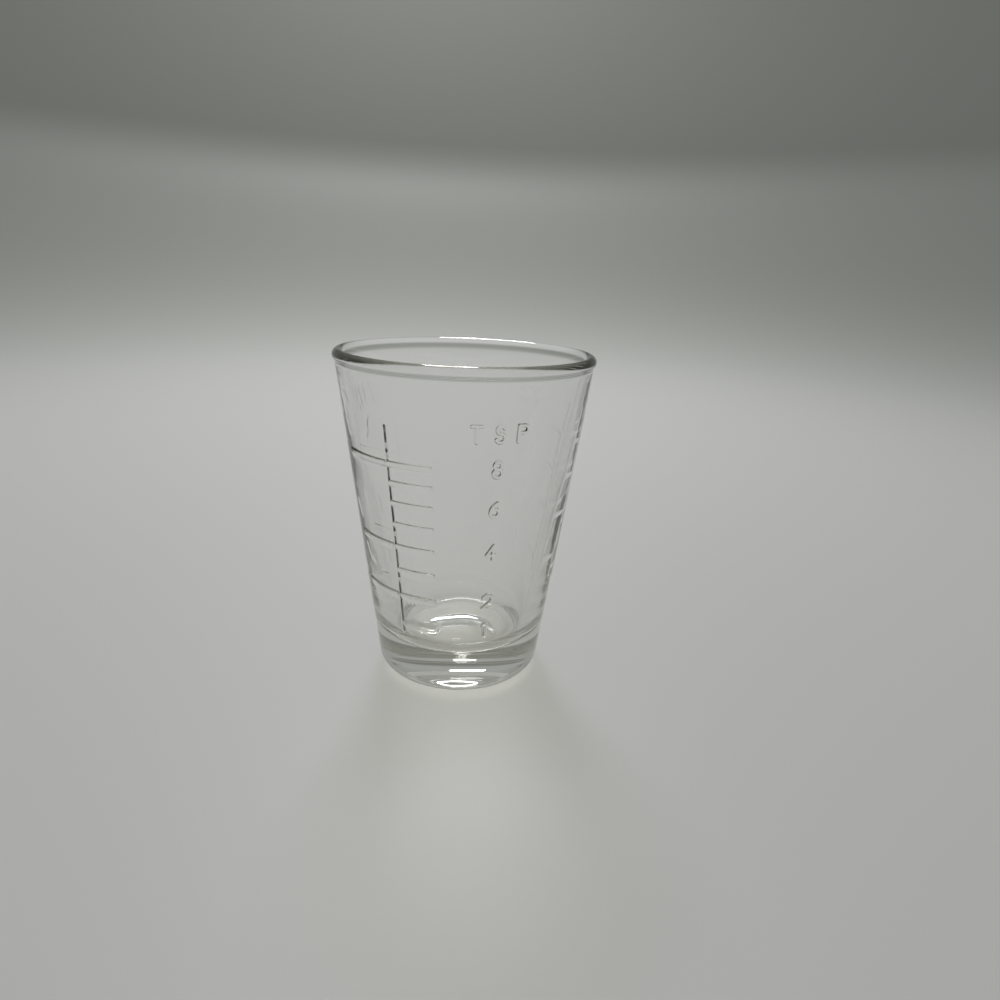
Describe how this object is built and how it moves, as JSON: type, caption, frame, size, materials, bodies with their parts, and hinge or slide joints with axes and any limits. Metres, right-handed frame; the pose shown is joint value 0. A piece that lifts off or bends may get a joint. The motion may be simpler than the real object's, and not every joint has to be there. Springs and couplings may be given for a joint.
{
  "type": "measuring glass",
  "caption": "Small clear pressed-glass measuring cup: a tapered wall with a rolled rim, a thick base, and raised measuring lines with plain numerals.",
  "frame": {"origin": "on the axis of the glass, at the level of the surface that its foot stands on", "axes": "+Z along the axis from the foot to the rim; -Y towards the front, between the teaspoon lines and their numerals; +X to the right seen from the front"},
  "size_m": [0.0474, 0.0474, 0.062],
  "materials": {
    "pressed_glass": "clear soda-lime glass, pressed in a mould and fire polished"
  },
  "bodies": {
    "root": {"glass_body": "pressed_glass", "spoon_spine": "pressed_glass", "teaspoon_lines": "pressed_glass", "teaspoon_numerals": "pressed_glass", "teaspoon_heading": "pressed_glass", "tablespoon_lines": "pressed_glass", "tablespoon_numerals": "pressed_glass", "tablespoon_heading": "pressed_glass", "ounce_spine": "pressed_glass", "ounce_lines": "pressed_glass", "ounce_numerals": "pressed_glass", "ounce_heading": "pressed_glass"}
  },
  "joints": []
}
